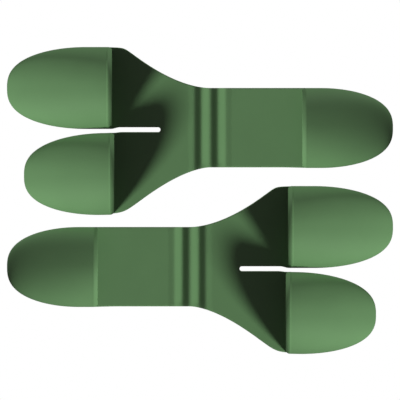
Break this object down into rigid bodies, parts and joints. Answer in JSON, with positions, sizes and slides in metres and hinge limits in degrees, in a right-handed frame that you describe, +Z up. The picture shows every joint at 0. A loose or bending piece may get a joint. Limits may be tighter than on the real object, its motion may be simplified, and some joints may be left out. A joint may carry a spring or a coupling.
{
  "type": "leaf grabber hands",
  "caption": "Pair of soft pinch mitts with domed finger and thumb pockets and a grooved folding palm, for picking up leaves by hand.",
  "frame": {"origin": "on the ground under the middle of the pair", "axes": "+X along the mitts from the left mitt's fingertips to its thumb tip, +Y from the right mitt to the left mitt, +Z up"},
  "size_m": [0.2548, 0.2026, 0.0399],
  "materials": {
    "sheet": "matte moulded elastomer",
    "cover": "matte moulded elastomer",
    "rim": "matte moulded elastomer",
    "web": "matte moulded elastomer"
  },
  "bodies": {
    "left_palm": {"left_palm": "sheet"},
    "left_index_middle_pocket": {"left_index_middle_floor": "sheet", "left_index_middle_cover": "cover", "left_index_middle_rim": "rim"},
    "left_ring_little_pocket": {"left_ring_little_floor": "sheet", "left_ring_little_cover": "cover", "left_ring_little_rim": "rim"},
    "left_hinge_rib": {"left_hinge_rib": "sheet", "left_finger_side_web": "web", "left_thumb_side_web": "web"},
    "left_thumb_pocket": {"left_thumb_sheet": "sheet", "left_thumb_cover": "cover", "left_thumb_rim": "rim"},
    "right_palm": {"right_palm": "sheet"},
    "right_index_middle_pocket": {"right_index_middle_floor": "sheet", "right_index_middle_cover": "cover", "right_index_middle_rim": "rim"},
    "right_ring_little_pocket": {"right_ring_little_floor": "sheet", "right_ring_little_cover": "cover", "right_ring_little_rim": "rim"},
    "right_hinge_rib": {"right_hinge_rib": "sheet", "right_finger_side_web": "web", "right_thumb_side_web": "web"},
    "right_thumb_pocket": {"right_thumb_sheet": "sheet", "right_thumb_cover": "cover", "right_thumb_rim": "rim"}
  },
  "joints": [
    {"name": "left_fold_finger_side", "type": "hinge", "parent": "left_palm", "child": "left_hinge_rib", "pos_m": [0.00105, 0.04818, 0.0007], "axis": [0, 1, 0], "range_deg": [-50, 80], "stiffness_Nm_per_rad": 0.1},
    {"name": "left_fold_thumb_side", "type": "hinge", "parent": "left_hinge_rib", "child": "left_thumb_pocket", "pos_m": [0.01195, 0.04818, 0.0007], "axis": [0, 1, 0], "range_deg": [-50, 80], "stiffness_Nm_per_rad": 0.1},
    {"name": "left_index_middle_flex", "type": "hinge", "parent": "left_palm", "child": "left_index_middle_pocket", "pos_m": [-0.0411, 0.07418, 0.002], "axis": [0, -1, 0], "range_deg": [-15, 28], "stiffness_Nm_per_rad": 0.1},
    {"name": "left_ring_little_flex", "type": "hinge", "parent": "left_palm", "child": "left_ring_little_pocket", "pos_m": [-0.0411, 0.01758, 0.002], "axis": [0, -1, 0], "range_deg": [-15, 28], "stiffness_Nm_per_rad": 0.1},
    {"name": "right_fold_finger_side", "type": "hinge", "parent": "right_palm", "child": "right_hinge_rib", "pos_m": [-0.00105, -0.04358, 0.0007], "axis": [0, -1, 0], "range_deg": [-50, 80], "stiffness_Nm_per_rad": 0.1},
    {"name": "right_fold_thumb_side", "type": "hinge", "parent": "right_hinge_rib", "child": "right_thumb_pocket", "pos_m": [-0.01195, -0.04358, 0.0007], "axis": [0, -1, 0], "range_deg": [-50, 80], "stiffness_Nm_per_rad": 0.1},
    {"name": "right_index_middle_flex", "type": "hinge", "parent": "right_palm", "child": "right_index_middle_pocket", "pos_m": [0.0411, -0.01758, 0.002], "axis": [0, 1, 0], "range_deg": [-15, 28], "stiffness_Nm_per_rad": 0.1},
    {"name": "right_ring_little_flex", "type": "hinge", "parent": "right_palm", "child": "right_ring_little_pocket", "pos_m": [0.0411, -0.07418, 0.002], "axis": [0, 1, 0], "range_deg": [-15, 28], "stiffness_Nm_per_rad": 0.1},
    {"name": "right_hand_lift", "type": "slide", "parent": "left_palm", "child": "right_palm", "axis": [0, 0, 1], "range_m": [0, 0.06]}
  ],
  "couplings": [
    {"joint": "left_fold_thumb_side", "follows": "left_fold_finger_side", "ratio": 1},
    {"joint": "right_fold_thumb_side", "follows": "right_fold_finger_side", "ratio": 1}
  ]
}
